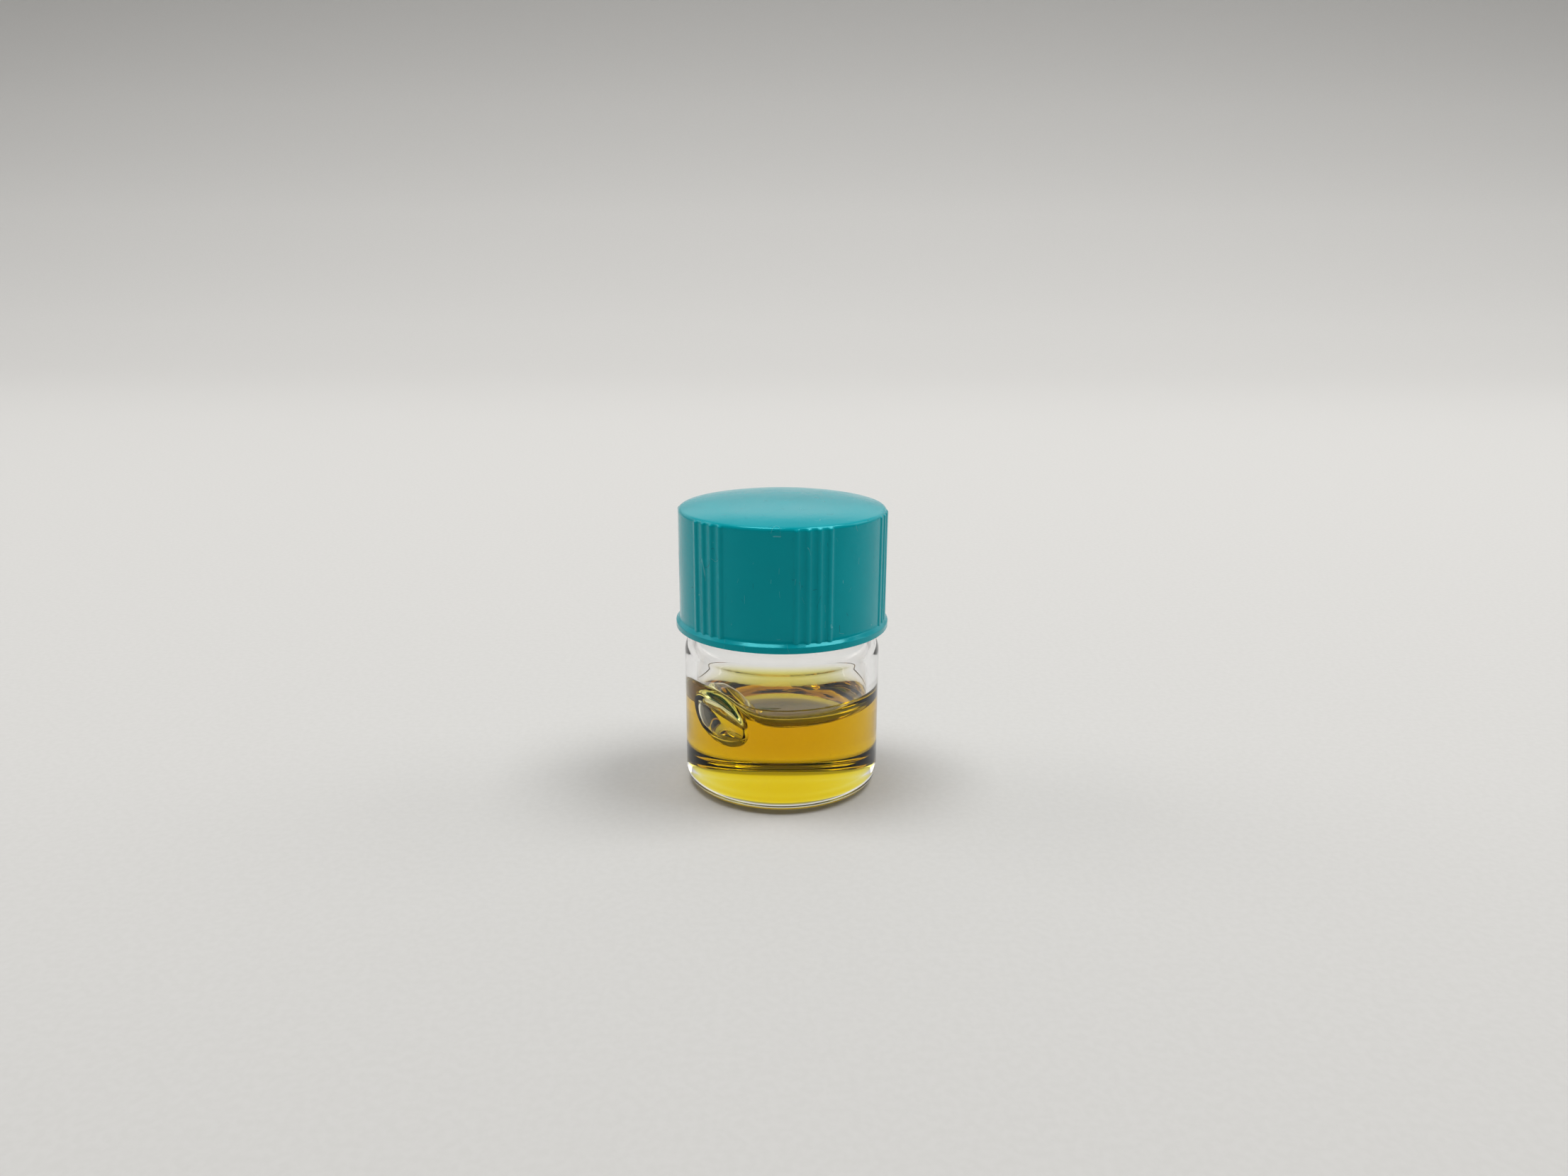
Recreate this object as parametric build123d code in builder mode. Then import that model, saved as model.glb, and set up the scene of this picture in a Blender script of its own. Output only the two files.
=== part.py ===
"""Short screw-thread glass sample vial: clear glass vial, thermoset screw cap, two-ply seal, oil sample.

Millimetres, +Z up. The origin is on the vial's axis, in the plane that the vial stands on.
The cap is screwed home on its seal.
"""

import os
from math import cos, radians, sin

from build123d import *

# Glass vial
BODY_R = 9.5
WALL = 1.1
HEEL_R = 1.6
FLOOR_Z = 1.3
INNER_HEEL_R = 1.6
SHOULDER_Z = 13.5
SHOULDER_BEND_R = 2.3
SHOULDER_TURN = radians(55)

# Vial neck: 18 mm continuous-thread finish with a little over one turn
NECK_R = 7.85
NECK_BORE_R = 6.3
NECK_BLEND_R = 1.5
RIM_Z = 25.2
RIM_ROUND_R = 0.55
THREAD_PITCH = 3.175
NECK_THREAD_CREST_R = 8.75
NECK_THREAD_BASE = 2.0
NECK_THREAD_CREST = 0.8
NECK_THREAD_TURNS = 1.15
NECK_THREAD_Z = 19.9

# Screw cap
CAP_BASE_Z = 16.1
CAP_TOP_Z = 28.49
CAP_TOP_R = 9.97
CAP_SKIRT_R = 9.93
CAP_EDGE_R = 0.4
CAP_BORE_R = 8.95
CAP_MOUTH_CHAMFER = 0.35
CAP_THREAD_CREST_R = 8.1
CAP_THREAD_BASE = 1.2
CAP_THREAD_CREST = 0.5
CAP_THREAD_TURNS = 1.3
CAP_THREAD_LEAD_TURNS = 0.3
CAP_THREAD_DROP = 1.25
THREAD_BITE = 0.15

# Crown: a flat dome, then a steeper turn down to the cap's edge
CROWN_R = 6.5
CROWN_SLOPE = radians(5)
CROWN_EDGE_SLOPE = radians(14)

# Flange around the cap's mouth: an upright lip under a ledge that slopes in to the skirt
FLANGE_R = 10.3
FLANGE_LIP_H = 0.58
FLANGE_H = 0.9
FLANGE_EDGE_R = 0.12

# Grip ribs, in groups around the cap
RIB_GROUPS = 6
RIBS_IN_GROUP = 4
FIRST_GROUP_ANGLE = -73.3
RIB_STEP_ANGLE = 6.1
RIB_R = 0.42
RIB_SINK = 0.3
RIB_TOP_Z = 27.3

# Seal in the cap: a foamed backing disc with a thin facing on the glass rim
SEAL_R = 8.85
FACING_T = 0.15
BACKING_T = 1.05

# Oil sample, and the air bubble in it that rests against the glass
OIL_LEVEL = 7.2
MENISCUS_R = 3.6
MENISCUS_TURN = radians(80)
BUBBLE_ANGLE = -142
BUBBLE_OUT = 6.9
BUBBLE_Z = 8.3
BUBBLE_R = 2.5
BUBBLE_FILM = 0.6

BORE_R = BODY_R - WALL
SEAL_Z = RIM_Z + FACING_T
CAP_INSIDE_Z = SEAL_Z + BACKING_T


def shoulder_line(body_r, bend_r, neck_r, blend_r):
    """Where a shoulder's convex bend ends, where its blend into the neck starts, and where that ends."""
    bend_end = (body_r - bend_r * (1 - cos(SHOULDER_TURN)), SHOULDER_Z + bend_r * sin(SHOULDER_TURN))
    blend_r_in = neck_r + blend_r * (1 - cos(SHOULDER_TURN))
    slope_height = (bend_end[0] - blend_r_in) / sin(SHOULDER_TURN) * cos(SHOULDER_TURN)
    blend_start = (blend_r_in, bend_end[1] + slope_height)
    neck_start = (neck_r, blend_start[1] + blend_r * sin(SHOULDER_TURN))
    return bend_end, blend_start, neck_start


def thread_path(mean_r, start_z, turns, start_turn):
    """Right-handed helix of the closure's pitch."""
    helix = Helix(THREAD_PITCH, THREAD_PITCH * turns, mean_r, mode=Mode.PRIVATE)
    return helix.rotate(Axis.Z, 360 * start_turn).translate((0, 0, start_z))


def thread_section(path, base_x, crest_x, base, crest):
    """Trapezoid thread section across the start of its helix, from its base to its crest."""
    start = path @ 0
    outward = Vector(start.X, start.Y, 0)
    with BuildSketch(Plane(origin=start, x_dir=outward, z_dir=path % 0)) as section:
        with BuildLine():
            Polyline(
                (base_x, -base / 2),
                (crest_x, -crest / 2),
                (crest_x, crest / 2),
                (base_x, base / 2),
                close=True,
            )
        make_face()
    return section.sketch


# The vial's wall, outside line first and then the inside line back down to the floor
neck_path = thread_path(NECK_R, NECK_THREAD_Z, NECK_THREAD_TURNS, 0)
outer_bend, outer_blend, outer_neck = shoulder_line(BODY_R, SHOULDER_BEND_R, NECK_R, NECK_BLEND_R)
inner_bend_r = SHOULDER_BEND_R - WALL
inner_blend_r = NECK_BLEND_R + WALL
inner_bend, inner_blend, inner_neck = shoulder_line(BORE_R, inner_bend_r, NECK_BORE_R, inner_blend_r)

with BuildPart() as glass_vial:
    with BuildSketch(Plane.XZ):
        with BuildLine():
            Line((0, 0), (BODY_R - HEEL_R, 0))
            RadiusArc((BODY_R - HEEL_R, 0), (BODY_R, HEEL_R), -HEEL_R)
            Line((BODY_R, HEEL_R), (BODY_R, SHOULDER_Z))
            RadiusArc((BODY_R, SHOULDER_Z), outer_bend, -SHOULDER_BEND_R)
            Line(outer_bend, outer_blend)
            RadiusArc(outer_blend, outer_neck, NECK_BLEND_R)
            Line(outer_neck, (NECK_R, RIM_Z - RIM_ROUND_R))
            RadiusArc((NECK_R, RIM_Z - RIM_ROUND_R), (NECK_R - RIM_ROUND_R, RIM_Z), -RIM_ROUND_R)
            Line((NECK_R - RIM_ROUND_R, RIM_Z), (NECK_BORE_R + RIM_ROUND_R, RIM_Z))
            RadiusArc((NECK_BORE_R + RIM_ROUND_R, RIM_Z), (NECK_BORE_R, RIM_Z - RIM_ROUND_R), -RIM_ROUND_R)
            Line((NECK_BORE_R, RIM_Z - RIM_ROUND_R), inner_neck)
            RadiusArc(inner_neck, inner_blend, -inner_blend_r)
            Line(inner_blend, inner_bend)
            RadiusArc(inner_bend, (BORE_R, SHOULDER_Z), inner_bend_r)
            Line((BORE_R, SHOULDER_Z), (BORE_R, FLOOR_Z + INNER_HEEL_R))
            RadiusArc((BORE_R, FLOOR_Z + INNER_HEEL_R), (BORE_R - INNER_HEEL_R, FLOOR_Z), INNER_HEEL_R)
            Polyline((BORE_R - INNER_HEEL_R, FLOOR_Z), (0, FLOOR_Z), (0, 0))
        make_face()
    revolve(axis=Axis.Z)
    neck_thread = thread_section(
        neck_path, -THREAD_BITE, NECK_THREAD_CREST_R - NECK_R, NECK_THREAD_BASE, NECK_THREAD_CREST
    )
    sweep(sections=neck_thread, path=neck_path, is_frenet=True)
glass_vial.part.label = "glass_vial"

# The cap's thread lies under the vial's, and starts a part of a turn before it
cap_path = thread_path(
    CAP_BORE_R,
    NECK_THREAD_Z - CAP_THREAD_DROP - THREAD_PITCH * CAP_THREAD_LEAD_TURNS,
    CAP_THREAD_TURNS,
    -CAP_THREAD_LEAD_TURNS,
)

# The crown's two arcs meet without a corner, and so do the bend and the edge's rounding
dome_r = CROWN_R / sin(CROWN_SLOPE)
dome_end = (CROWN_R, CAP_TOP_Z - dome_r * (1 - cos(CROWN_SLOPE)))
bend_end_r = CAP_TOP_R - CAP_EDGE_R * (1 - sin(CROWN_EDGE_SLOPE))
crown_bend_r = (bend_end_r - CROWN_R) / (sin(CROWN_EDGE_SLOPE) - sin(CROWN_SLOPE))
crown_bend_end = (bend_end_r, dome_end[1] - crown_bend_r * (cos(CROWN_SLOPE) - cos(CROWN_EDGE_SLOPE)))
cap_edge = (CAP_TOP_R, crown_bend_end[1] - CAP_EDGE_R * cos(CROWN_EDGE_SLOPE))

with BuildPart() as screw_cap:
    with BuildSketch(Plane.XZ):
        with BuildLine():
            Polyline(
                (0, CAP_INSIDE_Z),
                (CAP_BORE_R, CAP_INSIDE_Z),
                (CAP_BORE_R, CAP_BASE_Z + CAP_MOUTH_CHAMFER),
                (CAP_BORE_R + CAP_MOUTH_CHAMFER, CAP_BASE_Z),
                (FLANGE_R - FLANGE_EDGE_R, CAP_BASE_Z),
            )
            RadiusArc(
                (FLANGE_R - FLANGE_EDGE_R, CAP_BASE_Z), (FLANGE_R, CAP_BASE_Z + FLANGE_EDGE_R), -FLANGE_EDGE_R
            )
            Polyline(
                (FLANGE_R, CAP_BASE_Z + FLANGE_EDGE_R),
                (FLANGE_R, CAP_BASE_Z + FLANGE_LIP_H),
                (CAP_SKIRT_R, CAP_BASE_Z + FLANGE_H),
                cap_edge,
            )
            RadiusArc(cap_edge, crown_bend_end, -CAP_EDGE_R)
            RadiusArc(crown_bend_end, dome_end, -crown_bend_r)
            RadiusArc(dome_end, (0, CAP_TOP_Z), -dome_r)
            Line((0, CAP_TOP_Z), (0, CAP_INSIDE_Z))
        make_face()
    revolve(axis=Axis.Z)
    cap_thread = thread_section(
        cap_path, THREAD_BITE, CAP_THREAD_CREST_R - CAP_BORE_R, CAP_THREAD_BASE, CAP_THREAD_CREST
    )
    sweep(sections=cap_thread, path=cap_path, is_frenet=True)
    group_span = RIB_STEP_ANGLE * (RIBS_IN_GROUP - 1)
    for group in range(RIB_GROUPS):
        first_rib = FIRST_GROUP_ANGLE + 360 / RIB_GROUPS * group - group_span / 2
        with BuildSketch(Plane.XY.offset(CAP_BASE_Z + FLANGE_LIP_H / 2)):
            with PolarLocations(CAP_SKIRT_R - RIB_SINK, RIBS_IN_GROUP, first_rib, group_span, endpoint=True):
                Circle(RIB_R)
        extrude(amount=RIB_TOP_Z - CAP_BASE_Z - FLANGE_LIP_H / 2)
screw_cap.part.label = "screw_cap"

with BuildPart() as liner_facing:
    with BuildSketch(Plane.XY.offset(RIM_Z)):
        Circle(SEAL_R)
    extrude(amount=FACING_T)
liner_facing.part.label = "liner_facing"

with BuildPart() as liner_backing:
    with BuildSketch(Plane.XY.offset(SEAL_Z)):
        Circle(SEAL_R)
    extrude(amount=BACKING_T)
liner_backing.part.label = "liner_backing"

# The oil's free surface is flat in the middle and climbs the wall in a meniscus
contact_z = OIL_LEVEL + MENISCUS_R * (1 - cos(MENISCUS_TURN))
meniscus_start_r = BORE_R - MENISCUS_R * sin(MENISCUS_TURN)
bubble_centre = Vector(BUBBLE_OUT, 0, BUBBLE_Z).rotate(Axis.Z, BUBBLE_ANGLE)

with BuildPart() as oil_sample:
    with BuildSketch(Plane.XZ):
        with BuildLine():
            Line((0, FLOOR_Z), (BORE_R - INNER_HEEL_R, FLOOR_Z))
            RadiusArc((BORE_R - INNER_HEEL_R, FLOOR_Z), (BORE_R, FLOOR_Z + INNER_HEEL_R), -INNER_HEEL_R)
            Line((BORE_R, FLOOR_Z + INNER_HEEL_R), (BORE_R, contact_z))
            RadiusArc((BORE_R, contact_z), (meniscus_start_r, OIL_LEVEL), MENISCUS_R)
            Polyline((meniscus_start_r, OIL_LEVEL), (0, OIL_LEVEL), (0, FLOOR_Z))
        make_face()
    revolve(axis=Axis.Z)
    # The surface bulges over the bubble, and the glass wall cuts both bulge and bubble off
    with Locations(bubble_centre):
        Sphere(BUBBLE_R + BUBBLE_FILM)
    with BuildSketch(Plane.XY):
        Circle(BORE_R)
    extrude(amount=RIM_Z, mode=Mode.INTERSECT)
    with Locations(bubble_centre):
        Sphere(BUBBLE_R, mode=Mode.SUBTRACT)
oil_sample.part.label = "oil_sample"

os.makedirs("parts", exist_ok=True)
export_step(glass_vial.part, "parts/glass_vial.step")
export_step(screw_cap.part, "parts/screw_cap.step")
export_step(liner_facing.part, "parts/liner_facing.step")
export_step(liner_backing.part, "parts/liner_backing.step")
export_step(oil_sample.part, "parts/oil_sample.step")
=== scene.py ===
"""Looks of a short screw-thread glass sample vial: clear glass, teal screw cap, lined seal, golden oil.

Every shape is worked out in millimetres in the part's own frame and scaled to metres once, in new_piece.
"""

import math  # noqa: E402

import bpy  # noqa: E402
import numpy as np  # noqa: E402
from mathutils import Matrix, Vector  # noqa: E402


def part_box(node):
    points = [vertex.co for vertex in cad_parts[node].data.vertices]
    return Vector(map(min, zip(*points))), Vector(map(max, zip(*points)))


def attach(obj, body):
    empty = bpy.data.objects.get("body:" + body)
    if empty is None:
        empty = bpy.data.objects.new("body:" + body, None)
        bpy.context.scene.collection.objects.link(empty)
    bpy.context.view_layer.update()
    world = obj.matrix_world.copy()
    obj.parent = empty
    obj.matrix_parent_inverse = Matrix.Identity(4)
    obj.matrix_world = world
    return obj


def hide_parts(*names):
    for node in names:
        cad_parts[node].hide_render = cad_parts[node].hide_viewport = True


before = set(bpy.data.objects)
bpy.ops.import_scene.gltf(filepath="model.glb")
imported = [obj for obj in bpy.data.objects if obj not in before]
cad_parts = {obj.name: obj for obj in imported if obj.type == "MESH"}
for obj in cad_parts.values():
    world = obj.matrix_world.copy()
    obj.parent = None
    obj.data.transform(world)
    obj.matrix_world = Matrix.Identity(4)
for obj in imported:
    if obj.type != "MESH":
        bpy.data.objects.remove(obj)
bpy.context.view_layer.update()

MM = 0.001
FULL_TURN = 2 * math.pi


def node_box_mm(node):
    """Lowest and highest corners of a CAD node, in millimetres."""
    low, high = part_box(node)
    return low / MM, high / MM


# --- Driving sizes, read from the frame -----------------------------------------------------------
glass_low, glass_high = node_box_mm("glass_vial")
cap_low, cap_high = node_box_mm("screw_cap")
facing_low, facing_high = node_box_mm("liner_facing")
backing_low, backing_high = node_box_mm("liner_backing")
oil_low, oil_high = node_box_mm("oil_sample")

BODY_R = glass_high.x
BORE_R = oil_high.x
WALL = BODY_R - BORE_R
RIM_Z = glass_high.z
FLOOR_Z = oil_low.z
SEAL_R = facing_high.x
CAP_BASE_Z = cap_low.z
CAP_TOP_Z = cap_high.z
FLANGE_R = cap_high.x
CAP_INSIDE_Z = backing_high.z

# --- Glass ----------------------------------------------------------------------------------------
# The heels and the shoulder are set from how light bends through them, and the neck is hidden
HEEL_R = 1.6
INNER_HEEL_R = 1.6
SHOULDER_Z = 13.5
SHOULDER_BEND_R = 2.3
SHOULDER_TURN = math.radians(55)
NECK_R = 7.85
NECK_BORE_R = 6.3
NECK_BLEND_R = 1.5
RIM_ROUND_R = 0.55

# --- The closure's thread, shared by the neck and the cap -----------------------------------------
THREAD_PITCH = 3.175
NECK_THREAD_Z = 19.9
NECK_THREAD = {"depth": 0.9, "base": 2.0, "crest": 0.8, "first": 0.0, "last": 1.15, "z": NECK_THREAD_Z}
CAP_THREAD_Z = NECK_THREAD_Z - 1.25
CAP_THREAD = {"depth": 0.85, "base": 1.2, "crest": 0.5, "first": -0.3, "last": 1.0, "z": CAP_THREAD_Z}
THREAD_RUN_OUT = 0.07

# --- Cap ------------------------------------------------------------------------------------------
CAP_TOP_R = 9.97
CAP_SKIRT_R = 9.93
CAP_EDGE_R = 0.4
CROWN_R = 6.5
CROWN_SLOPE = 5.0
CROWN_EDGE_SLOPE = 14.0
CAP_BORE_R = 8.95
CAP_MOUTH_CHAMFER = 0.35
CEILING_CORNER_R = 0.3
FLANGE_LIP_H = 0.58
FLANGE_H = 0.9
FLANGE_EDGE_R = 0.1
LEDGE_FOOT = 0.03
RIB_GROUPS = 6
RIBS_IN_GROUP = 4
FIRST_GROUP = math.radians(-73.3)
RIB_STEP = math.radians(6.1)
RIB_R = 0.42
RIB_SINK = 0.3
RIB_TOP_Z = 27.5
RIB_END_R = 0.3

# --- Oil: capillary surface and the trapped bubble ------------------------------------------------
OIL_LEVEL = 7.2
# Capillary length and contact angle, set to the meniscus that is seen: an oil's length is nearer 1.8 mm
CAPILLARY = 2.12
CONTACT_ANGLE = math.radians(1)
WALL_GAP = 0.01
BUBBLE_ANGLE = math.radians(-141)
BUBBLE_Z = 8.05
BUBBLE_FROM_WALL = 1.9
BUBBLE_LONG = 3.6
BUBBLE_SHORT = 2.15
BUBBLE_DEEP = 2.1
BUBBLE_TILT = math.radians(28)
BUBBLE_FILM = 0.08
BUBBLE_FLAT_BLEND = 0.12
# The bubble lifts the surface over it: where, how high, how wide and how far in, and how much flatter
SWELL_ANGLE = math.radians(-147)
SWELL_LIFT = 3.5
SWELL_SPREAD = 4.4
SWELL_DEPTH = (2.0, 6.2)
SWELL_FLATTENS = 0.75


# --- Mesh helpers ---------------------------------------------------------------------------------
def arc(centre, radius, start, end, steps):
    """Points of an arc in the (r, z) half plane, angles in degrees from +r towards +z."""
    angles = np.radians(np.linspace(start, end, steps))
    return [(centre[0] + radius * math.cos(a), centre[1] + radius * math.sin(a)) for a in angles]


def straight(start, end, steps):
    """Points of a straight stretch, without its first."""
    return [tuple(p) for p in np.linspace(start, end, steps + 1)[1:]]


def shoulder(body_r, bend_r, neck_r, blend_r):
    """A shoulder from the body's wall up to the neck: convex bend, slope, concave blend."""
    turn = math.degrees(SHOULDER_TURN)
    bend = arc((body_r - bend_r, SHOULDER_Z), bend_r, 0, turn, 14)
    blend_r_in = neck_r + blend_r * (1 - math.cos(SHOULDER_TURN))
    slope_height = (bend[-1][0] - blend_r_in) / math.tan(SHOULDER_TURN)
    neck_z = bend[-1][1] + slope_height + blend_r * math.sin(SHOULDER_TURN)
    return bend + arc((neck_r + blend_r, neck_z), blend_r, 180 + turn, 180, 10)


def thread_height(angles, z, thread):
    """Height of a helical ridge at each angle on the circle at z, with smooth flanks and run-outs."""
    turn = (angles % FULL_TURN) / FULL_TURN
    height = np.zeros(len(angles))
    for lap in range(-1, 3):
        along = turn + lap
        off_centre = np.abs(z - thread["z"] - THREAD_PITCH * along)
        flank = np.clip((thread["base"] / 2 - off_centre) / ((thread["base"] - thread["crest"]) / 2), 0, 1)
        run_out = np.minimum(along - thread["first"], thread["last"] - along) / THREAD_RUN_OUT
        rise = flank**2 * (3 - 2 * flank) * np.sin(np.clip(run_out, 0, 1) * math.pi / 2)
        height = np.maximum(height, thread["depth"] * rise)
    return height


def ring_points(radius, z, angles):
    """Points of one ring. Its radius and its z are numbers, or have a value for each angle."""
    z = np.broadcast_to(z, len(angles))
    return np.column_stack([radius * np.cos(angles), radius * np.sin(angles), z])


def closed_lathe(rings, angles, first_z, last_z):
    """A closed body from an axis point through (radius, z) rings to another axis point."""
    count = len(angles)
    points = np.concatenate([ring_points(radius, z, angles) for radius, z in rings])
    first, last = len(points), len(points) + 1
    points = np.vstack([points, [[0, 0, first_z], [0, 0, last_z]]])
    sides = [(k, (k + 1) % count) for k in range(count)]
    faces = [(first, after, k) for k, after in sides]
    for row in range(len(rings) - 1):
        a, b = row * count, (row + 1) * count
        faces += [(a + k, a + after, b + after, b + k) for k, after in sides]
    end = (len(rings) - 1) * count
    faces += [(end + k, end + after, last) for k, after in sides]
    return points, faces


def new_piece(name, points, faces, body, replaced, materials):
    """A smooth-shaded mesh piece from millimetre points, riding on its body."""
    mesh = bpy.data.meshes.new(name)
    mesh.from_pydata(np.asarray(points) * MM, [], faces)
    mesh.shade_smooth()
    for material in materials:
        mesh.materials.append(material)
    piece = bpy.data.objects.new(name, mesh)
    bpy.context.scene.collection.objects.link(piece)
    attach(piece, body)
    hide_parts(replaced)
    return piece


# --- Glass vial -----------------------------------------------------------------------------------
def even_angles(count):
    """Evenly spaced angles round the axis."""
    return np.linspace(0, FULL_TURN, count, endpoint=False)


def meniscus(from_wall):
    """Height of a capillary surface above its flat level, at a distance from the wall it wets."""
    top = CAPILLARY * math.sqrt(2 * (1 - math.sin(CONTACT_ANGLE)))
    height = np.geomspace(top, top / 400, 120)

    def run(h):
        return CAPILLARY * np.arccosh(2 * CAPILLARY / h) - np.sqrt(4 * CAPILLARY**2 - h**2)

    return np.interp(from_wall, run(height) - run(top), height)


def oil_height(from_wall, angles):
    """Height of the oil's free surface: a meniscus on the wall, and a swell where the bubble lifts it."""
    off = (angles - SWELL_ANGLE + math.pi) % FULL_TURN - math.pi
    swell = np.exp(-(np.abs(off * BORE_R / SWELL_SPREAD) ** 3))
    inward = np.clip((from_wall - SWELL_DEPTH[0]) / (SWELL_DEPTH[1] - SWELL_DEPTH[0]), 0, 1)
    fall = (1 + np.cos(math.pi * inward)) / 2
    return OIL_LEVEL + meniscus(from_wall) * (1 - SWELL_FLATTENS * swell) + SWELL_LIFT * swell * fall


def inner_heel(gap):
    """The inside of the base, from near the axis to the wall, kept a gap away from the glass."""
    radius = INNER_HEEL_R - gap
    centre = (BORE_R - INNER_HEEL_R, FLOOR_Z + INNER_HEEL_R)
    flat = straight((0, FLOOR_Z + gap), (centre[0], FLOOR_Z + gap), 24)
    return flat[:-1] + arc(centre, radius, -90, 0, 16)


def glass_outside():
    """Outline of the vial's outside, from near the middle of its base to the top of the shoulder."""
    foot = straight((0, 0), (BODY_R - HEEL_R, 0), 20)
    heel = arc((BODY_R - HEEL_R, HEEL_R), HEEL_R, -90, 0, 14)[1:]
    wall = straight((BODY_R, HEEL_R), (BODY_R, SHOULDER_Z), 24)
    return foot + heel + wall + shoulder(BODY_R, SHOULDER_BEND_R, NECK_R, NECK_BLEND_R)[1:]


def make_glass(materials):
    """The one-piece vial. Faces that the oil wets take the second material, which bends no light."""
    angles = even_angles(240)
    outline = glass_outside()
    rings = [(r, z) for r, z in outline]
    neck_foot = outline[-1][1]
    for z in np.linspace(neck_foot, RIM_Z - RIM_ROUND_R, 72)[1:]:
        rings.append((NECK_R + thread_height(angles, z, NECK_THREAD), z))
    rings += arc((NECK_R - RIM_ROUND_R, RIM_Z - RIM_ROUND_R), RIM_ROUND_R, 0, 90, 8)[1:]
    rings += arc((NECK_BORE_R + RIM_ROUND_R, RIM_Z - RIM_ROUND_R), RIM_ROUND_R, 90, 180, 8)
    inner = shoulder(BORE_R, SHOULDER_BEND_R - WALL, NECK_BORE_R, NECK_BLEND_R + WALL)[::-1]
    rings += straight((NECK_BORE_R, RIM_Z - RIM_ROUND_R), inner[0], 16)
    rings += inner[1:]
    contact = oil_height(0, angles)
    rings += [(BORE_R, SHOULDER_Z + (contact - SHOULDER_Z) * s) for s in np.linspace(0, 1, 9)[1:]]
    first_wet_ring = len(rings) - 1
    wall_foot = FLOOR_Z + INNER_HEEL_R
    rings += [(BORE_R, contact + (wall_foot - contact) * s) for s in np.linspace(0, 1, 17)[1:]]
    rings += inner_heel(0)[::-1][1:]
    points, faces = closed_lathe(rings, angles, 0, FLOOR_Z)
    vial = new_piece("vial_glass", points, faces, "vial", "glass_vial", materials)
    first_wet_face = len(angles) * (1 + first_wet_ring)
    is_wet = np.arange(len(faces)) >= first_wet_face
    vial.data.polygons.foreach_set("material_index", is_wet.astype(np.int32))
    return vial


# --- Oil with its bubble --------------------------------------------------------------------------
def bubble_shape(angles_count, rows_count):
    """Points of the bubble, a tilted egg bent round the axis and flattened on the wall."""
    around = even_angles(angles_count)
    rings = []
    for polar in np.linspace(0, math.pi, rows_count)[1:-1]:
        long = np.full(angles_count, math.cos(polar))
        side, deep = math.sin(polar) * np.cos(around), math.sin(polar) * np.sin(around)
        rings.append(np.column_stack([long, side, deep]))
    points = np.vstack(rings + [[[1, 0, 0], [-1, 0, 0]]])
    long, side = points[:, 0] * BUBBLE_LONG, points[:, 1] * BUBBLE_SHORT
    along = long * math.cos(BUBBLE_TILT) + side * math.sin(BUBBLE_TILT)
    z = BUBBLE_Z - long * math.sin(BUBBLE_TILT) + side * math.cos(BUBBLE_TILT)
    from_wall = BUBBLE_FROM_WALL + points[:, 2] * BUBBLE_DEEP
    clear = from_wall - BUBBLE_FILM
    from_wall = BUBBLE_FILM + (clear + np.sqrt(clear**2 + BUBBLE_FLAT_BLEND**2)) / 2
    angle = BUBBLE_ANGLE + along / (BORE_R - BUBBLE_FROM_WALL / 2)
    radius = BORE_R - from_wall
    return np.column_stack([radius * np.cos(angle), radius * np.sin(angle), z])


def bubble_faces(angles_count, rows_count, first):
    """Faces of the bubble's rings and its two tips, facing into the bubble."""
    faces = []
    rings = rows_count - 2
    tip_a, tip_b = first + rings * angles_count, first + rings * angles_count + 1
    for k in range(angles_count):
        after = (k + 1) % angles_count
        faces.append((tip_a, first + k, first + after))
        end = first + (rings - 1) * angles_count
        faces.append((end + after, end + k, tip_b))
        for row in range(rings - 1):
            a, b = first + row * angles_count, first + (row + 1) * angles_count
            faces.append((a + k, b + k, b + after, a + after))
    return faces


def make_oil(material):
    """The oil: its wetted sides, its capillary surface and the bubble, marked where it meets air."""
    angles = even_angles(240)
    contact = oil_height(0, angles)
    radius = BORE_R - WALL_GAP
    wall_foot = FLOOR_Z + INNER_HEEL_R
    rings = list(inner_heel(WALL_GAP))
    rings += [(radius, wall_foot + (contact - wall_foot) * s) for s in np.linspace(0, 1, 17)[1:]]
    first_free_ring = len(rings) - 1
    for share in np.linspace(0, 1, 72)[1:-1]:
        from_wall = BORE_R * share**1.5
        rings.append((radius * (1 - share**1.5), oil_height(from_wall, angles)))
    centre_z = float(oil_height(BORE_R, angles[:1])[0])
    points, faces = closed_lathe(rings, angles, FLOOR_Z + WALL_GAP, centre_z)
    first_free_face = len(angles) * (1 + first_free_ring)
    sides, rows = 96, 64
    bubble = bubble_shape(sides, rows)
    faces += bubble_faces(sides, rows, len(points))
    points = np.vstack([points, bubble])
    oil = new_piece("oil_pool", points, faces, "vial", "oil_sample", [material])
    meets_air = oil.data.attributes.new("meets_air", "FLOAT", "FACE")
    meets_air.data.foreach_set("value", (np.arange(len(faces)) >= first_free_face).astype(np.float32))
    return oil


# --- Cap ------------------------------------------------------------------------------------------
def rib_angles():
    """Angles of every grip rib."""
    ribs = []
    for group in range(RIB_GROUPS):
        middle = FIRST_GROUP + FULL_TURN / RIB_GROUPS * group
        ribs += [middle + RIB_STEP * (i - (RIBS_IN_GROUP - 1) / 2) for i in range(RIBS_IN_GROUP)]
    return ribs


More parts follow.
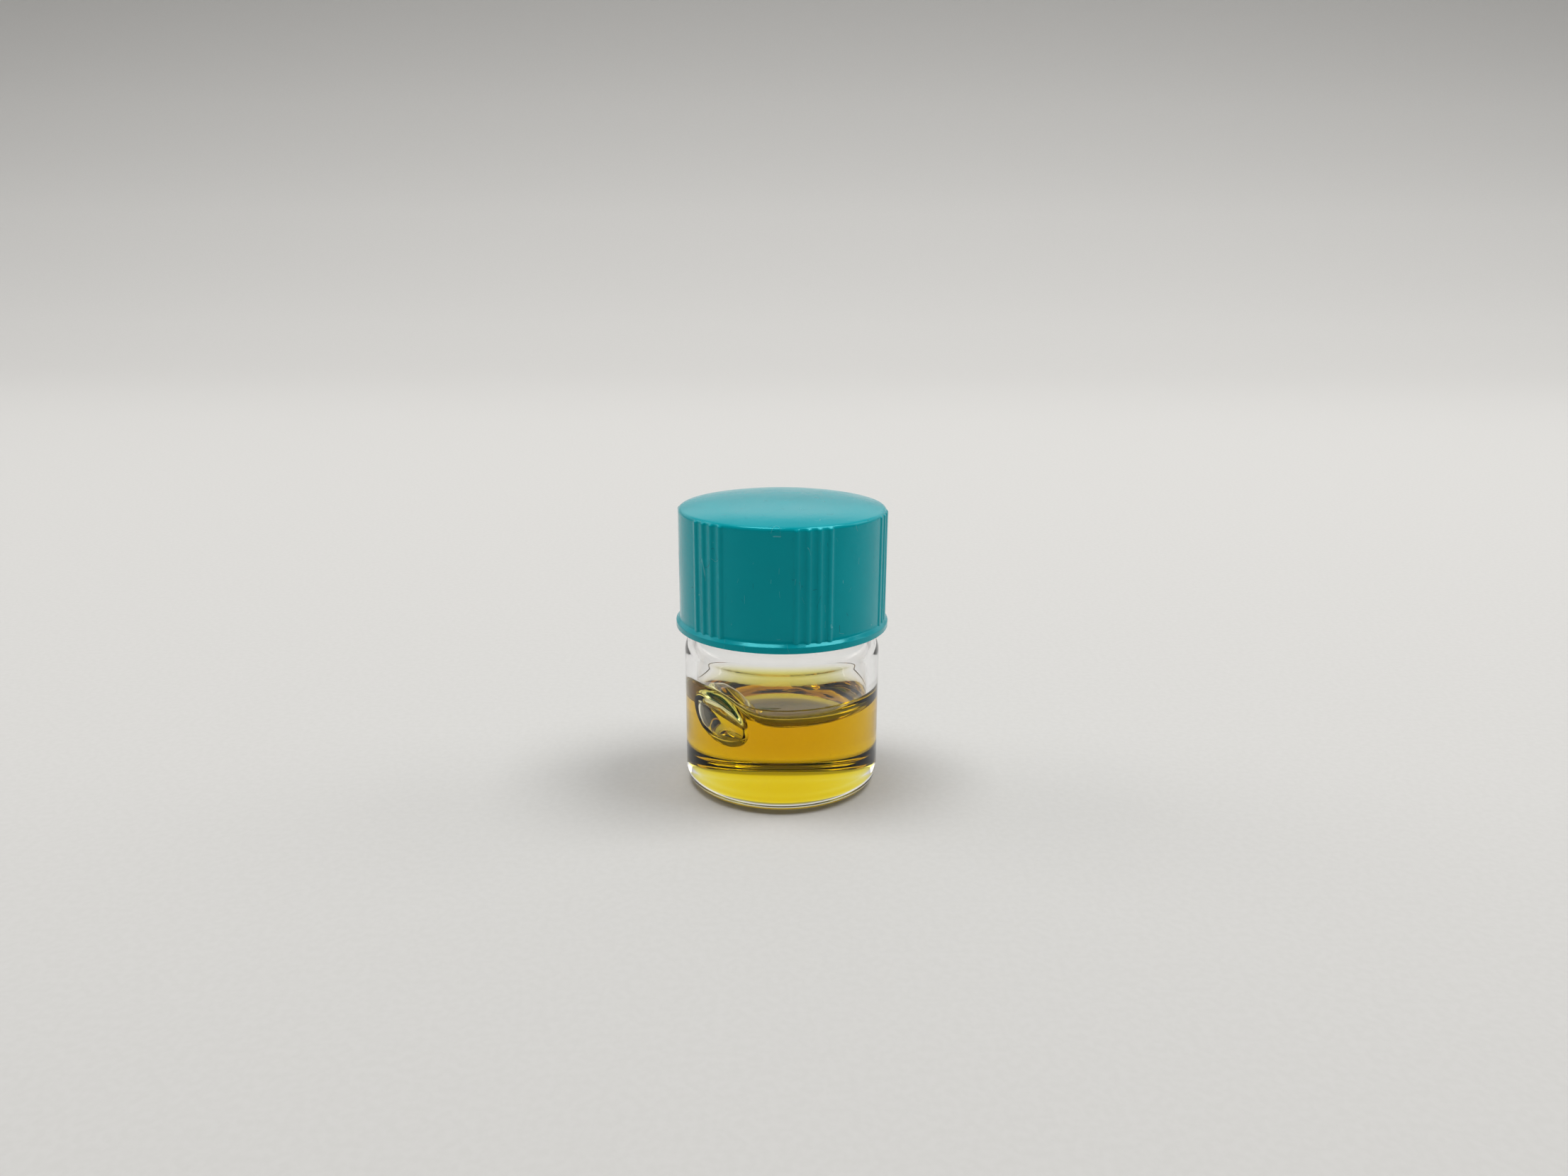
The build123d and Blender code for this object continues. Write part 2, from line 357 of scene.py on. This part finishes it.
def cap_angles():
    """Angles round the cap, close together over each rib and wide apart between the groups."""
    across = math.acos(RIB_SINK / RIB_R)
    over_rib = np.sin(np.linspace(-across, across, 11)) * RIB_R / CAP_SKIRT_R
    angles = [rib + step for rib in rib_angles() for step in over_rib]
    gap = FULL_TURN / RIB_GROUPS - RIB_STEP * (RIBS_IN_GROUP - 1)
    for group in range(RIB_GROUPS):
        start = FIRST_GROUP + FULL_TURN / RIB_GROUPS * group + RIB_STEP * (RIBS_IN_GROUP - 1) / 2
        angles += list(start + np.linspace(0, gap, 16)[1:-1])
    return np.sort(np.unique(np.round(np.array(angles) % FULL_TURN, 6)))


def rib_height(angles, z):
    """How far the grip ribs stand out of the skirt at each angle, with rounded tops."""
    into_end = np.clip((z - (RIB_TOP_Z - RIB_END_R)) / RIB_END_R, 0, 1)
    height = np.zeros(len(angles))
    for rib in rib_angles():
        across = ((angles - rib + math.pi) % FULL_TURN - math.pi) * CAP_SKIRT_R
        bulge = np.sqrt(np.clip(RIB_R**2 - across**2, 0, None)) - RIB_SINK
        height = np.maximum(height, bulge)
    return height * math.sqrt(max(0.0, 1 - into_end**2))


def crown_line():
    """Outline of the cap's crown: a flat dome, a steeper turn down to its edge, and the edge's rounding."""
    rise, turn = math.radians(CROWN_SLOPE), math.radians(CROWN_EDGE_SLOPE)
    dome_r = CROWN_R / math.sin(rise)
    edge_centre_r = CAP_TOP_R - CAP_EDGE_R
    edge_r = edge_centre_r + CAP_EDGE_R * math.sin(turn)
    bend_r = (edge_r - CROWN_R) / (math.sin(turn) - math.sin(rise))
    dome = arc((0, CAP_TOP_Z - dome_r), dome_r, 90, 90 - CROWN_SLOPE, 14)
    bend_centre = (CROWN_R - bend_r * math.sin(rise), dome[-1][1] - bend_r * math.cos(rise))
    bend = arc(bend_centre, bend_r, 90 - CROWN_SLOPE, 90 - CROWN_EDGE_SLOPE, 12)[1:]
    edge_centre = (edge_centre_r, bend[-1][1] - CAP_EDGE_R * math.cos(turn))
    return dome + bend + arc(edge_centre, CAP_EDGE_R, 90 - CROWN_EDGE_SLOPE, 0, 9)[1:]


def make_cap(material):
    """The moulded cap, from inside its top down the threaded bore, round the flange and over the crown."""
    angles = cap_angles()
    corner_r, corner_z = CAP_BORE_R - CEILING_CORNER_R, CAP_INSIDE_Z - CEILING_CORNER_R
    rings = straight((0, CAP_INSIDE_Z), (corner_r, CAP_INSIDE_Z), 10)
    rings += arc((corner_r, corner_z), CEILING_CORNER_R, 90, 0, 5)[1:]
    mouth = CAP_BASE_Z + CAP_MOUTH_CHAMFER
    for z in np.linspace(corner_z, mouth, 84)[1:]:
        rings.append((CAP_BORE_R - thread_height(angles, z, CAP_THREAD), z))
    rings += [(CAP_BORE_R + CAP_MOUTH_CHAMFER, CAP_BASE_Z)]
    rings += straight(rings[-1], (FLANGE_R - FLANGE_EDGE_R, CAP_BASE_Z), 4)
    rings += arc((FLANGE_R - FLANGE_EDGE_R, CAP_BASE_Z + FLANGE_EDGE_R), FLANGE_EDGE_R, -90, 0, 7)[1:]
    flange_top = CAP_BASE_Z + FLANGE_H
    lip_z = CAP_BASE_Z + FLANGE_LIP_H
    face = arc((FLANGE_R - FLANGE_EDGE_R, lip_z - FLANGE_EDGE_R * 0.4), FLANGE_EDGE_R, 0, 50, 5)
    ledge = straight(face[-1], (CAP_SKIRT_R + LEDGE_FOOT, flange_top - LEDGE_FOOT), 8)
    skirt_foot = (CAP_SKIRT_R, flange_top + LEDGE_FOOT / 3)
    crown = crown_line()
    top_z = crown[-1][1]
    skirt = straight(skirt_foot, (CAP_TOP_R, top_z), 30)
    near_top = [p for p in skirt if p[1] < RIB_TOP_Z - RIB_END_R]
    fine_top = straight(near_top[-1], (CAP_TOP_R, top_z), 12)
    for r, z in face + ledge + [skirt_foot] + near_top + fine_top:
        rise = max(0.0, z - flange_top) / (top_z - flange_top)
        skirt_r = CAP_SKIRT_R + (CAP_TOP_R - CAP_SKIRT_R) * rise
        rings.append((np.maximum(r, skirt_r + rib_height(angles, z)), z))
    rings += [(r + rib_height(angles, z), z) for r, z in crown[::-1][1:-1]]
    points, faces = closed_lathe(rings, angles, CAP_INSIDE_Z, CAP_TOP_Z)
    return new_piece("cap_shell", points, faces, "cap", "screw_cap", [material])


# --- Seal -----------------------------------------------------------------------------------------
def make_disc(name, low_z, high_z, edge_r, replaced, material):
    """One disc of the seal, with its cut edge a little rounded."""
    angles = even_angles(128)
    rings = straight((0, low_z), (SEAL_R - edge_r, low_z), 16)
    rings += arc((SEAL_R - edge_r, low_z + edge_r), edge_r, -90, 0, 5)[1:]
    rings += arc((SEAL_R - edge_r, high_z - edge_r), edge_r, 0, 90, 5)
    rings += straight((SEAL_R - edge_r, high_z), (0, high_z), 16)[:-1]
    points, faces = closed_lathe(rings, angles, low_z, high_z)
    return new_piece(name, points, faces, "liner", replaced, [material])


# --- Materials ------------------------------------------------------------------------------------
# The glass and the oil bend light alike, so the face between them doesn't show
MATCHED_IOR = 1.473


def new_material(name, **sockets):
    """A material with these values on its Principled shader, as (material, its tree, the shader)."""
    material = bpy.data.materials.new(name)
    material.use_nodes = True
    tree = material.node_tree
    shader = tree.nodes["Principled BSDF"]
    for key, value in sockets.items():
        shader.inputs[key.replace("_", " ")].default_value = value
    return material, tree, shader


def place_mm(tree, stretch=(1, 1, 1)):
    """Where a point is on its piece, in millimetres, stretched by these factors."""
    place = tree.nodes.new("ShaderNodeTexCoord")
    scale = tree.nodes.new("ShaderNodeMapping")
    scale.inputs["Scale"].default_value = [factor / MM for factor in stretch]
    tree.links.new(place.outputs["Object"], scale.inputs["Vector"])
    return scale.outputs["Vector"]


def noise(tree, place, scale, detail=2.0, distortion=0.0):
    """Soft noise from 0 to 1, with this many waves to a millimetre."""
    node = tree.nodes.new("ShaderNodeTexNoise")
    node.inputs["Scale"].default_value = scale
    node.inputs["Detail"].default_value = detail
    node.inputs["Distortion"].default_value = distortion
    tree.links.new(place, node.inputs["Vector"])
    return node.outputs["Fac"]


def smooth_step(tree, value, start, end, low=0.0, high=1.0):
    """A smooth change from low to high as a socket's value goes from start to end."""
    step = tree.nodes.new("ShaderNodeMapRange")
    step.interpolation_type = "SMOOTHSTEP"
    step.inputs["From Min"].default_value = start
    step.inputs["From Max"].default_value = end
    step.inputs["To Min"].default_value = low
    step.inputs["To Max"].default_value = high
    tree.links.new(value, step.inputs["Value"])
    return step.outputs["Result"]


def combine(tree, operation, first, second):
    """Two values put together by a maths operation. Each is a socket or a number."""
    node = tree.nodes.new("ShaderNodeMath")
    node.operation = operation
    for value, socket in zip((first, second), node.inputs):
        if isinstance(value, (int, float)):
            socket.default_value = value
        else:
            tree.links.new(value, socket)
    return node.outputs[0]


def mix_colour(tree, share, first, second):
    """A colour between two others. Each is a socket or an RGBA value."""
    node = tree.nodes.new("ShaderNodeMix")
    node.data_type = "RGBA"
    tree.links.new(share, node.inputs["Factor"])
    for value, socket in zip((first, second), (node.inputs[6], node.inputs[7])):
        if isinstance(value, tuple):
            socket.default_value = value
        else:
            tree.links.new(value, socket)
    return node.outputs[2]


def specks(tree, place, per_mm, size, share):
    """Scattered round specks of up to this size in millimetres, in this share of the cells."""
    cells = tree.nodes.new("ShaderNodeTexVoronoi")
    cells.inputs["Scale"].default_value = per_mm
    tree.links.new(place, cells.inputs["Vector"])
    pick = tree.nodes.new("ShaderNodeSeparateColor")
    tree.links.new(cells.outputs["Color"], pick.inputs["Color"])
    chosen = smooth_step(tree, pick.outputs["Red"], share, share * 0.9)
    radius = combine(tree, "MULTIPLY", pick.outputs["Green"], size * per_mm)
    inside = combine(tree, "LESS_THAN", cells.outputs["Distance"], radius)
    return combine(tree, "MULTIPLY", chosen, inside)


def hairlines(tree, stretch, scale, width, rarity):
    """Thin curved lines, like scratches and lint, where a stretched noise crosses its middle."""
    wander = noise(tree, place_mm(tree, stretch), scale, 0.0, 0.1)
    off_middle = combine(tree, "ABSOLUTE", combine(tree, "SUBTRACT", wander, 0.5), 0.0)
    line = smooth_step(tree, off_middle, width, width * 0.3)
    patch = smooth_step(tree, noise(tree, place_mm(tree), 0.9, 0.0), rarity, rarity + 0.02)
    return combine(tree, "MULTIPLY", line, patch)


def add_bump(tree, shader, height, depth_mm, before=None):
    """A bump from a height socket that goes from 0 to 1, this many millimetres deep."""
    bump = tree.nodes.new("ShaderNodeBump")
    bump.inputs["Distance"].default_value = depth_mm * MM
    tree.links.new(height, bump.inputs["Height"])
    if before is not None:
        tree.links.new(before.outputs["Normal"], bump.inputs["Normal"])
    tree.links.new(bump.outputs["Normal"], shader.inputs["Normal"])
    return bump


def glass_material():
    """Clear drawn glass, a little wavy, with sparse dust and faint smears on it."""
    material, tree, shader = new_material(
        "clear_glass", Base_Color=(1, 1, 1, 1), Roughness=0.0, IOR=MATCHED_IOR, Transmission_Weight=1.0,
        Specular_Tint=(0.35, 0.35, 0.35, 1)
    )
    place = place_mm(tree)
    dust = specks(tree, place, 1.1, 0.05, 0.22)
    smear = smooth_step(tree, noise(tree, place_mm(tree, (1, 1, 0.4)), 0.35, 4.0, 0.8), 0.56, 0.74)
    tint = mix_colour(tree, smear, (1, 1, 1, 1), (0.985, 0.985, 0.98, 1))
    tree.links.new(mix_colour(tree, dust, tint, (0.45, 0.43, 0.4, 1)), shader.inputs["Base Color"])
    waves = noise(tree, place_mm(tree, (1, 1, 0.35)), 0.3, 1.0)
    bump = add_bump(tree, shader, waves, 0.012)
    add_bump(tree, shader, dust, 0.01, bump)
    return material


def wetted_material():
    """Glass that the oil touches: it passes light straight on, past a few dark seeds."""
    material = bpy.data.materials.new("wetted_glass")
    material.use_nodes = True
    tree = material.node_tree
    tree.nodes.clear()
    output = tree.nodes.new("ShaderNodeOutputMaterial")
    clear = tree.nodes.new("ShaderNodeBsdfTransparent")
    seeds = specks(tree, place_mm(tree), 0.9, 0.06, 0.12)
    tree.links.new(mix_colour(tree, seeds, (1, 1, 1, 1), (0.35, 0.3, 0.2, 1)), clear.inputs["Color"])
    tree.links.new(clear.outputs[0], output.inputs["Surface"])
    return material


def oil_material():
    """Golden oil that absorbs blue with depth. It bends light where it meets air, and not on the glass."""
    material, tree, shader = new_material(
        "golden_oil", Base_Color=(1, 1, 1, 1), Roughness=0.0, IOR=MATCHED_IOR, Transmission_Weight=1.0
    )
    meets_air = tree.nodes.new("ShaderNodeAttribute")
    meets_air.attribute_name = "meets_air"
    index = tree.nodes.new("ShaderNodeMapRange")
    index.inputs["To Min"].default_value = 1.0
    index.inputs["To Max"].default_value = MATCHED_IOR
    tree.links.new(meets_air.outputs["Fac"], index.inputs["Value"])
    tree.links.new(index.outputs["Result"], shader.inputs["IOR"])
    ripple = noise(tree, place_mm(tree), 0.45, 2.0, 0.5)
    add_bump(tree, shader, combine(tree, "MULTIPLY", ripple, meets_air.outputs["Fac"]), 0.03)
    dust = specks(tree, place_mm(tree), 1.3, 0.05, 0.15)
    floating = combine(tree, "MULTIPLY", dust, meets_air.outputs["Fac"])
    tint = mix_colour(tree, floating, (1, 1, 1, 1), (0.4, 0.3, 0.1, 1))
    tree.links.new(tint, shader.inputs["Base Color"])
    absorb = tree.nodes.new("ShaderNodeVolumeAbsorption")
    absorb.inputs["Color"].default_value = (0.97, 0.907, 0.05, 1)
    absorb.inputs["Density"].default_value = 600
    tree.links.new(absorb.outputs[0], tree.nodes["Material Output"].inputs["Volume"])
    return material


CAP_TEAL = (0.0, 0.37, 0.425, 1)


def cap_material():
    """Teal moulded thermoset: glossy, with a fine grain, a handling haze, scratches, dust and lint."""
    material, tree, shader = new_material(
        "teal_thermoset", Base_Color=CAP_TEAL, Roughness=0.14, IOR=1.5, Specular_Tint=(0.15, 0.95, 1.0, 1)
    )
    place = place_mm(tree)
    cloud = noise(tree, place, 0.22, 3.0, 0.4)
    grain = noise(tree, place, 7.0, 3.0)
    haze = smooth_step(tree, cloud, 0.35, 0.7, 0.11, 0.2)
    scratches = combine(
        tree, "MAXIMUM", hairlines(tree, (0.1, 0.9, 0.12), 0.7, 0.0022, 0.62),
        hairlines(tree, (0.8, 0.15, 0.3), 0.6, 0.0022, 0.64),
    )
    rough = combine(tree, "ADD", haze, combine(tree, "MULTIPLY", grain, 0.06))
    rough = combine(tree, "MAXIMUM", rough, combine(tree, "MULTIPLY", scratches, 0.4))
    tree.links.new(rough, shader.inputs["Roughness"])
    shade = mix_colour(tree, cloud, (0.0, 0.32, 0.375, 1), (0.0, 0.37, 0.425, 1))
    lint = hairlines(tree, (0.8, 0.5, 0.5), 0.9, 0.004, 0.7)
    shade = mix_colour(tree, lint, shade, (0.01, 0.05, 0.06, 1))
    shade = mix_colour(tree, combine(tree, "MULTIPLY", scratches, 0.3), shade, (0.3, 0.66, 0.7, 1))
    dust = specks(tree, place, 1.2, 0.05, 0.1)
    tree.links.new(mix_colour(tree, dust, shade, (0.75, 0.85, 0.85, 1)), shader.inputs["Base Color"])
    bump = add_bump(tree, shader, noise(tree, place, 1.6, 4.0), 0.012)
    bump = add_bump(tree, shader, grain, 0.0025, bump)
    add_bump(tree, shader, combine(tree, "SUBTRACT", dust, scratches), 0.01, bump)
    return material


def facing_material():
    """White fluoropolymer film with the dull ring that the glass rim presses into it."""
    material, tree, shader = new_material("white_facing", Base_Color=(0.85, 0.85, 0.83, 1), Roughness=0.35)
    place = place_mm(tree)
    flat = tree.nodes.new("ShaderNodeVectorMath")
    flat.operation = "MULTIPLY"
    flat.inputs[1].default_value = (1, 1, 0)
    tree.links.new(place, flat.inputs[0])
    length = tree.nodes.new("ShaderNodeVectorMath")
    length.operation = "LENGTH"
    tree.links.new(flat.outputs[0], length.inputs[0])
    rim_middle = (NECK_R + NECK_BORE_R) / 2
    off_rim = combine(tree, "ABSOLUTE", combine(tree, "SUBTRACT", length.outputs["Value"], rim_middle), 0.0)
    ring = smooth_step(tree, off_rim, 0.65, 0.3)
    cloud = noise(tree, place, 0.5, 4.0, 0.5)
    film = mix_colour(tree, cloud, (0.8, 0.8, 0.77, 1), (0.88, 0.88, 0.86, 1))
    ring_share = combine(tree, "MULTIPLY", ring, 0.5)
    tree.links.new(mix_colour(tree, ring_share, film, (0.68, 0.66, 0.56, 1)), shader.inputs["Base Color"])
    haze = smooth_step(tree, cloud, 0.3, 0.7, 0.28, 0.42)
    rough = combine(tree, "ADD", haze, combine(tree, "MULTIPLY", ring, 0.15))
    tree.links.new(rough, shader.inputs["Roughness"])
    bump = add_bump(tree, shader, combine(tree, "SUBTRACT", 1.0, ring), 0.03)
    add_bump(tree, shader, noise(tree, place, 2.5, 3.0), 0.006, bump)
    return material


def foam_material():
    """Fine foamed polyethylene, with the closed cells showing on its faces and its cut edge."""
    material, tree, shader = new_material("foam_backing", Base_Color=(0.75, 0.75, 0.72, 1), Roughness=0.7)
    place = place_mm(tree)
    cells = tree.nodes.new("ShaderNodeTexVoronoi")
    cells.inputs["Scale"].default_value = 5.0
    tree.links.new(place, cells.inputs["Vector"])
    wall = smooth_step(tree, cells.outputs["Distance"], 0.2, 0.7)
    cloud = noise(tree, place, 0.7, 3.0)
    foam = mix_colour(tree, wall, (0.66, 0.66, 0.63, 1), (0.8, 0.8, 0.77, 1))
    stain = combine(tree, "MULTIPLY", cloud, 0.3)
    tree.links.new(mix_colour(tree, stain, foam, (0.7, 0.69, 0.62, 1)), shader.inputs["Base Color"])
    tree.links.new(smooth_step(tree, cloud, 0.3, 0.7, 0.6, 0.8), shader.inputs["Roughness"])
    add_bump(tree, shader, wall, 0.05)
    return material


# --- Assembly -------------------------------------------------------------------------------------
make_glass([glass_material(), wetted_material()])
make_oil(oil_material())
make_cap(cap_material())
make_disc(
    "seal_facing", facing_low.z, facing_high.z, 0.04, "liner_facing",
    facing_material(),
)
make_disc(
    "seal_backing", backing_low.z, backing_high.z, 0.1, "liner_backing",
    foam_material(),
)


# --- Stage: sweep, lights and camera --------------------------------------------------------------
SWEEP_NEAR, SWEEP_FAR = -0.1, 1.0
# Painted shade on the sweep: greys by distance behind the vial in metres, standing in for light falling off
# at the front and up the wall
SWEEP_PAINTED_FALLOFF = (
    (-0.06, 0.57),
    (0.0, 0.62),
    (0.27, 0.71),
    (0.55, 0.77),
    (0.7, 0.74),
    (0.8, 0.64),
    (0.94, 0.4),
)


def sweep_material():
    """Pale paper with painted shade: its grey is graduated by distance behind the vial (in metres), darker
    at the front and darkest up its wall, standing in for the light's fall-off.
    """
    material, tree, shader = new_material("sweep_paper", Roughness=0.8)
    place = tree.nodes.new("ShaderNodeTexCoord")
    axes = tree.nodes.new("ShaderNodeSeparateXYZ")
    tree.links.new(place.outputs["Object"], axes.inputs[0])
    back = tree.nodes.new("ShaderNodeMapRange")
    back.inputs["From Min"].default_value = SWEEP_NEAR
    back.inputs["From Max"].default_value = SWEEP_FAR
    tree.links.new(axes.outputs["Y"], back.inputs["Value"])
    # Painted shade: this ramp darkens the paper's colour where the light falls off; the lamps don't make
    # this gradient
    shade = tree.nodes.new("ShaderNodeValToRGB")
    tree.links.new(back.outputs["Result"], shade.inputs["Fac"])
    stops = shade.color_ramp.elements
    for place_y, grey in SWEEP_PAINTED_FALLOFF:
        stop = stops.new((place_y - SWEEP_NEAR) / (SWEEP_FAR - SWEEP_NEAR))
        stop.color = (grey, 0.985 * grey, 0.955 * grey, 1)
    stops.remove(stops[0])
    stops.remove(stops[-1])
    grain = smooth_step(tree, noise(tree, place_mm(tree), 1.6, 4.0), 0.3, 0.7)
    darker = mix_colour(tree, grain, (0.97, 0.97, 0.967, 1), (1, 1, 1, 1))
    paper = tree.nodes.new("ShaderNodeMix")
    paper.data_type = "RGBA"
    paper.blend_type = "MULTIPLY"
    paper.inputs["Factor"].default_value = 1.0
    tree.links.new(shade.outputs["Color"], paper.inputs[6])
    tree.links.new(darker, paper.inputs[7])
    tree.links.new(paper.outputs[2], shader.inputs["Base Color"])
    return material


def make_sweep():
    """A pale seamless sweep: flat floor, then a wide bend up behind."""
    floor_end, bend_r, wall_top, half_width, near = 0.42, 0.55, 0.27, 2.6, -3.0
    line = [(near, 0.0), (floor_end, 0.0)]
    top_angle = math.acos(1 - wall_top / bend_r)
    for a in np.linspace(0, top_angle, 40)[1:]:
        line.append((floor_end + bend_r * math.sin(a), bend_r * (1 - math.cos(a))))
    points = [(x, y, z - 0.02 * MM) for y, z in line for x in (-half_width, half_width)]
    faces = [(2 * i, 2 * i + 1, 2 * i + 3, 2 * i + 2) for i in range(len(line) - 1)]
    mesh = bpy.data.meshes.new("sweep")
    mesh.from_pydata(points, [], faces)
    mesh.shade_smooth()
    mesh.materials.append(sweep_material())
    sweep = bpy.data.objects.new("sweep", mesh)
    bpy.context.scene.collection.objects.link(sweep)


def make_light(name, place, size, power):
    """A soft rectangular light aimed at the vial."""
    lamp = bpy.data.lights.new(name, "AREA")
    lamp.shape = "RECTANGLE"
    lamp.size, lamp.size_y = size
    lamp.energy = power
    light = bpy.data.objects.new(name, lamp)
    bpy.context.scene.collection.objects.link(light)
    light.location = place
    light.rotation_euler = (-light.location).to_track_quat("-Z", "Y").to_euler()
    return light


def make_camera():
    """The camera at the picture's viewing angle."""
    lens = bpy.data.cameras.new("camera")
    lens.sensor_width = 36
    lens.lens = 28.32
    lens.clip_start = 0.001
    camera = bpy.data.objects.new("camera", lens)
    bpy.context.scene.collection.objects.link(camera)
    down, roll = math.radians(15.06), math.radians(0.213)
    turn = Matrix.Rotation(math.pi / 2 - down, 4, "X") @ Matrix.Rotation(roll, 4, "Z")
    camera.matrix_world = Matrix.Translation((0.19 * MM, -115.8 * MM, 50.7 * MM)) @ turn
    bpy.context.scene.camera = camera


def make_world(dim, bright):
    """Light from the room: a window band low behind the vial, and dim everywhere else."""
    world = bpy.data.worlds.new("room")
    world.use_nodes = True
    tree = world.node_tree
    background = tree.nodes["Background"]
    background.inputs["Color"].default_value = (1.0, 0.985, 0.96, 1)
    place = tree.nodes.new("ShaderNodeTexCoord")
    axes = tree.nodes.new("ShaderNodeSeparateXYZ")
    tree.links.new(place.outputs["Generated"], axes.inputs[0])
    behind = smooth_step(tree, axes.outputs["Y"], 0.0, 0.6)
    low = smooth_step(tree, axes.outputs["Z"], 0.52, 0.44, 0.4, 1.0)
    window = tree.nodes.new("ShaderNodeMath")
    window.operation = "MULTIPLY"
    tree.links.new(behind, window.inputs[0])
    tree.links.new(low, window.inputs[1])
    strength = tree.nodes.new("ShaderNodeMapRange")
    strength.inputs["To Min"].default_value = dim
    strength.inputs["To Max"].default_value = bright
    tree.links.new(window.outputs[0], strength.inputs["Value"])
    tree.links.new(strength.outputs["Result"], background.inputs["Strength"])
    bpy.context.scene.world = world


make_sweep()
make_light("ceiling_left", (-0.21, 0.0, 1.0), (0.36, 0.4), 4.6)
make_light("ceiling_right", (0.43, 0.0, 0.95), (0.46, 0.4), 4.6)
make_light("window_left", (-1.0, 0.25, 0.75), (0.6, 0.6), 2.2)
make_light("window_right", (1.1, 0.25, 0.75), (0.6, 0.6), 2.2)
make_world(0.13, 0.78)
make_camera()
bpy.context.scene.view_settings.view_transform = "Standard"
bpy.context.scene.cycles.transmission_bounces = 24
bpy.context.scene.cycles.max_bounces = 24
bpy.context.scene.cycles.transparent_max_bounces = 24
